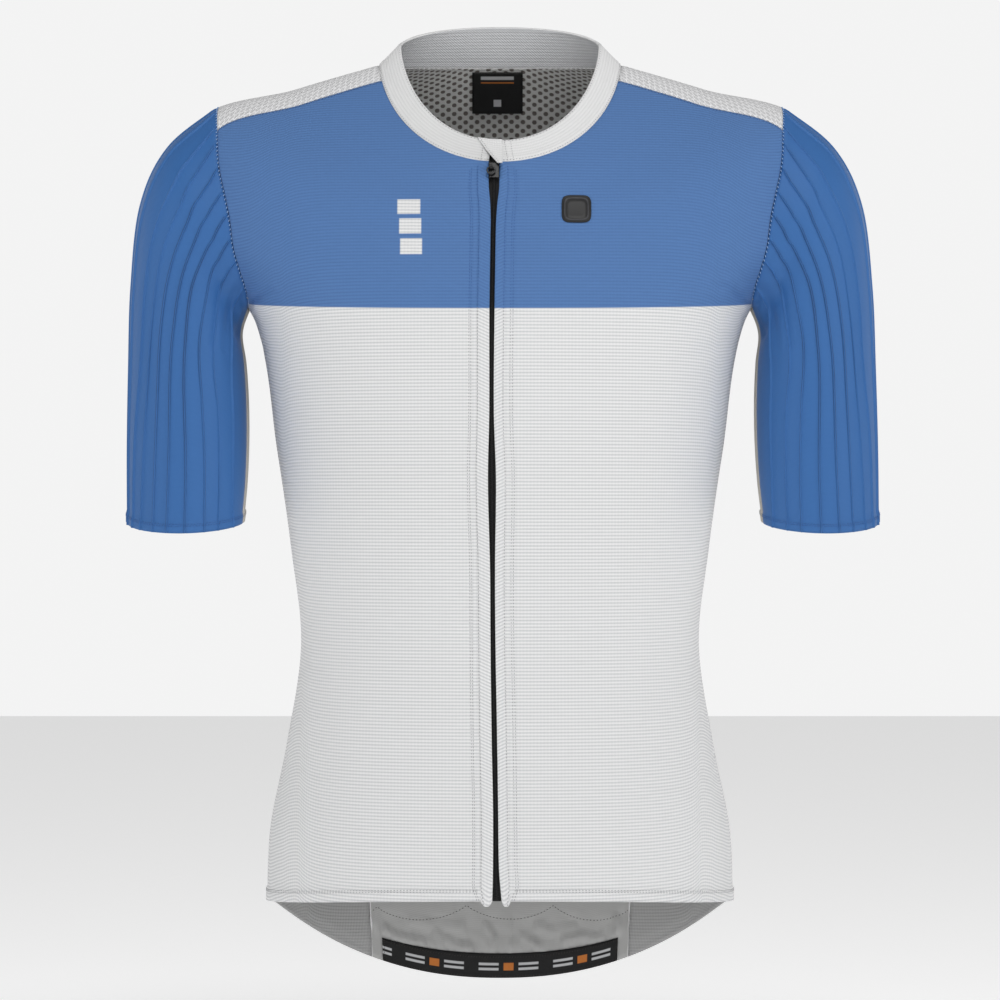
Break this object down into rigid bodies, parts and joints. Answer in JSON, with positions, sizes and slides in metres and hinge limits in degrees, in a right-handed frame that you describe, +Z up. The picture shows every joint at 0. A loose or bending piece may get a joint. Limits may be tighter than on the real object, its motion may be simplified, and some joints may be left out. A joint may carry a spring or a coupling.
{
  "type": "short-sleeved cycling jersey",
  "caption": "Short-sleeved cycling jersey, filled out as worn, with a stand collar, full front zip, ribbed sleeves, dropped tail and rear pockets.",
  "frame": {"origin": "between the shoulders at the base of the neck, where the wearer's shoulders carry the jersey", "axes": "+Z up, the front faces -Y, +X is the wearer's left"},
  "size_m": [0.5771, 0.2451, 0.7539],
  "materials": {
    "front_knit": "micro-ribbed polyester knit, white with a printed blue yoke",
    "side_knit": "micro-ribbed polyester knit, white",
    "back_mesh": "eyelet mesh knit, white",
    "pocket_knit": "plain polyester knit, white",
    "sleeve_knit": "smooth stretch knit, blue, with raised ribs",
    "underarm_knit": "stretch knit, pale grey",
    "collar_knit": "fine-lined double knit, white",
    "zip_tape": "woven polyester zip tape and coil, black",
    "elastic": "woven gripper elastic, black",
    "label": "woven satin label, black and plain",
    "zip_metal": "black lacquered zinc"
  },
  "bodies": {
    "jersey": {"front_left": "front_knit", "front_right": "front_knit", "side_back_left": "side_knit", "side_back_right": "side_knit", "back": "back_mesh", "pockets": "pocket_knit", "sleeve_left": "sleeve_knit", "sleeve_right": "sleeve_knit", "sleeve_under_left": "underarm_knit", "sleeve_under_right": "underarm_knit", "collar": "collar_knit", "zip_garage": "collar_knit", "zip": "zip_tape", "gripper": "elastic", "neck_label": "label", "slider": "zip_metal"},
    "zip_pull": {"pull": "zip_metal"}
  },
  "joints": [
    {"name": "zip_pull_swing", "type": "hinge", "parent": "jersey", "child": "zip_pull", "pos_m": [-0.0067, -0.09017, -0.05854], "axis": [-1, 0, 0], "range_deg": [0, 150]}
  ]
}
